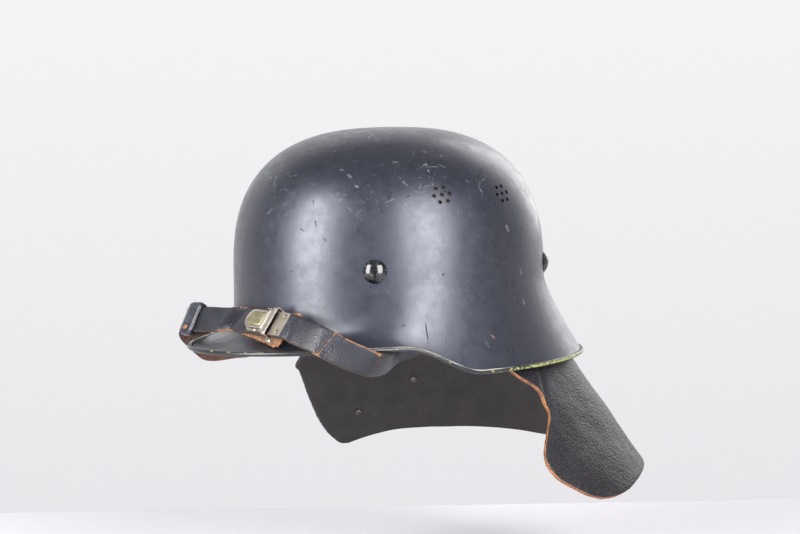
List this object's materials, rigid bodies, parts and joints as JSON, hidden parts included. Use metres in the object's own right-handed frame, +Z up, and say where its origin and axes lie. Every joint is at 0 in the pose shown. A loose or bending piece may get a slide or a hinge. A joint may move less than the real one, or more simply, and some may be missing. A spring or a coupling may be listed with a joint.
{
  "type": "fire helmet",
  "caption": "Pressed metal fire helmet with rolled edge, leather liner, buckled chin strap stowed over the visor and a hanging neck leather.",
  "frame": {"origin": "middle of the head opening, level with the shell's edge", "axes": "+Z up to the crown, -Y to the front (the visor), +X to the wearer's left"},
  "size_m": [0.2947, 0.3478, 0.2547],
  "materials": {
    "shell_paint": "worn semi-gloss blue-black",
    "screw_metal": "black, worn",
    "plated_steel": "dull plating",
    "fibre_spacer": "matt",
    "band_alloy": "satin",
    "liner_leather": "smooth, aged",
    "cord_cotton": "braided",
    "strap_leather": "pebbled, worn",
    "raw_leather": "flesh side, raw",
    "slider_leather": "polished",
    "buckle_nickel": "worn nickel plating",
    "buckle_brass": "tarnished",
    "neck_leather": "fine grain, aged"
  },
  "bodies": {
    "helmet": {"shell": "shell_paint", "liner_screws": "screw_metal", "liner_nuts": "plated_steel", "liner_spacers": "fibre_spacer", "liner_band": "band_alloy", "liner_leather": "liner_leather", "liner_fingers": "liner_leather", "liner_rivets": "plated_steel", "drawstring": "cord_cotton", "lug_left": "plated_steel", "lug_right": "plated_steel", "lug_rivets": "plated_steel", "chin_strap_left": "strap_leather", "chin_strap_right": "strap_leather", "buckle_backing": "raw_leather", "buckle_catch": "buckle_nickel", "catch_rivets": "buckle_nickel", "buckle_bridge": "buckle_nickel", "buckle_base": "buckle_brass", "base_rivets": "buckle_nickel", "lever_pin": "plated_steel", "lever_spring": "plated_steel", "tab_studs": "plated_steel"},
    "lever": {"buckle_lever": "buckle_brass"},
    "slider": {"strap_slider": "slider_leather"},
    "ring_left": {"strap_ring_left": "plated_steel"},
    "ring_right": {"strap_ring_right": "plated_steel"},
    "neck_guard": {"neck_leather": "neck_leather", "neck_studs": "plated_steel", "neck_tabs": "neck_leather"}
  },
  "joints": [
    {"name": "lever_press", "type": "hinge", "parent": "helmet", "child": "lever", "pos_m": [0.03161, -0.12366, 0.03043], "axis": [-0.0273, 0.5952, 0.8031], "range_deg": [-4, 0], "stiffness_Nm_per_rad": 0.05, "springref_deg": 11.46},
    {"name": "slider_slide", "type": "slide", "parent": "helmet", "child": "slider", "axis": [0.9917, 0.1265, 0.0237], "range_m": [0, 0.008]},
    {"name": "ring_left_hinge", "type": "hinge", "parent": "helmet", "child": "ring_left", "pos_m": [0.10151, -0.01245, 0.03453], "axis": [0.0205, 0.5874, -0.809], "range_deg": [-3, 3]},
    {"name": "ring_right_hinge", "type": "hinge", "parent": "helmet", "child": "ring_right", "pos_m": [-0.10151, -0.01245, 0.03453], "axis": [-0.0205, 0.5874, -0.809], "range_deg": [-3, 3]},
    {"name": "neck_swing", "type": "hinge", "parent": "helmet", "child": "neck_guard", "pos_m": [0, 0.098, 0.049], "axis": [1, 0, 0], "range_deg": [-2, 5]}
  ]
}
